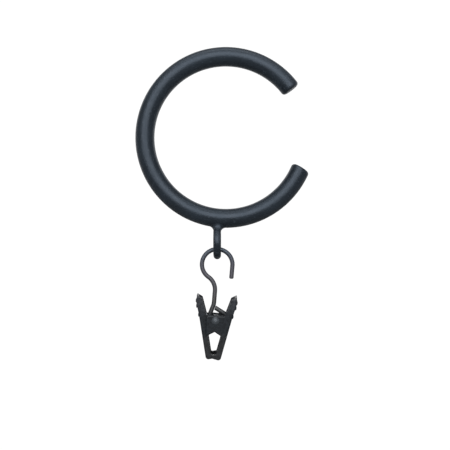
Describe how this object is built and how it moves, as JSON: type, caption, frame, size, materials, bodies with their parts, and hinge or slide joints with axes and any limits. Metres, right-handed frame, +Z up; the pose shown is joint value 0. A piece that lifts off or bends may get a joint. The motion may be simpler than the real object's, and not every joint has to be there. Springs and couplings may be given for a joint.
{
  "type": "bypass curtain ring",
  "caption": "Open C-shaped curtain ring of round bar with a welded eye, from which a wire hook carries a sprung pinch clip. It passes rod brackets and holds the cloth's edge.",
  "frame": {"origin": "centre of the ring, on the axis of the curtain rod it would hang on, midway across the bar", "axes": "+Y along the curtain rod, +Z up, +X towards the mouth of the ring; the clip hangs below, at -Z"},
  "size_m": [0.0545, 0.0104, 0.0979],
  "materials": {
    "satin_black_paint": "satin black paint with a fine orange-peel texture",
    "blackened_wire": "dark brown-black oxide on drawn wire",
    "blackened_sheet": "semi-gloss black coating on stamped sheet",
    "blackened_rivet": "black coating worn bright on the domed head",
    "spring_steel": "dark oiled spring wire"
  },
  "bodies": {
    "ring": {"ring": "satin_black_paint", "eye": "satin_black_paint"},
    "hook": {"hook": "blackened_wire"},
    "left_jaw": {"left_jaw": "blackened_sheet", "pivot_pin": "blackened_rivet", "torsion_spring": "spring_steel"},
    "right_jaw": {"right_jaw": "blackened_sheet"}
  },
  "joints": [
    {"name": "hook_swing", "type": "hinge", "parent": "ring", "child": "hook", "pos_m": [-0.0027, 0, -0.03519], "axis": [1, 0, 0], "range_deg": [-75, 75]},
    {"name": "clip_swing", "type": "hinge", "parent": "hook", "child": "left_jaw", "pos_m": [-0.0032, 0, -0.05719], "axis": [0, 1, 0], "range_deg": [-6, 14]},
    {"name": "jaw_open", "type": "hinge", "parent": "left_jaw", "child": "right_jaw", "pos_m": [-0.0032, 0, -0.05719], "axis": [0, -1, 0], "range_deg": [0, 24], "stiffness_Nm_per_rad": 0.05, "springref_deg": -34.38, "deforming": ["torsion_spring"]}
  ]
}
